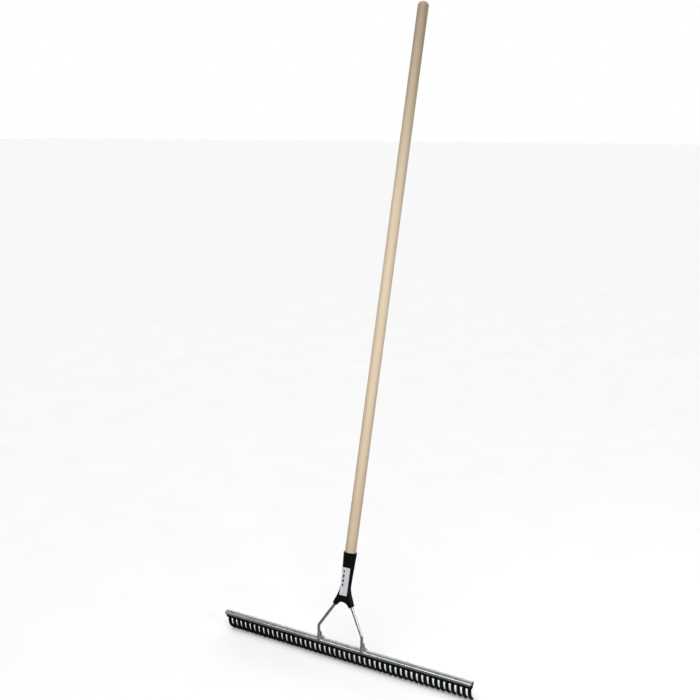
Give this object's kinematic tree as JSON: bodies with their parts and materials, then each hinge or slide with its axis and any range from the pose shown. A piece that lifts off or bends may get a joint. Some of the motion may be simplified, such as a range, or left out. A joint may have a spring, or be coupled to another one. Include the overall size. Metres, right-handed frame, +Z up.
{
  "type": "wide levelling rake",
  "caption": "Wide levelling rake: long round wooden handle in a forked black socket, two bent rods, a galvanised sheet spine and two black combs of curved tines.",
  "frame": {"origin": "on the ground line of the tine tips, at the middle of the spine's length and 0.5 mm behind the middle of a tine's straight top", "axes": "+X along the head, +Y towards the user, the way the tine tips and the handle point, +Z up with the tines' roots upright"},
  "size_m": [0.6889, 0.49, 1.6205],
  "materials": {
    "handle_wood": "plain sanded pale softwood",
    "socket_plastic": "moulded black, slight sheen",
    "comb_plastic": "moulded black, slight sheen",
    "label_paper": null,
    "rod_zinc": "bright zinc plate",
    "saddle_zinc": "bright zinc plate",
    "spine_galvanised": "smooth galvanised sheet",
    "rivet_aluminium": "plain",
    "screw_zinc": "zinc plate"
  },
  "bodies": {
    "root": {"handle": "handle_wood", "handle_socket": "socket_plastic", "handle_screw": "screw_zinc", "socket_label": "label_paper", "rod_left": "rod_zinc", "rod_right": "rod_zinc", "saddle_left": "saddle_zinc", "saddle_right": "saddle_zinc", "saddle_rivets": "rivet_aluminium", "spine": "spine_galvanised", "comb_bar_left": "comb_plastic", "comb_bar_right": "comb_plastic", "comb_tines_left": "comb_plastic", "comb_tines_right": "comb_plastic", "comb_rivets": "rivet_aluminium"}
  },
  "joints": []
}
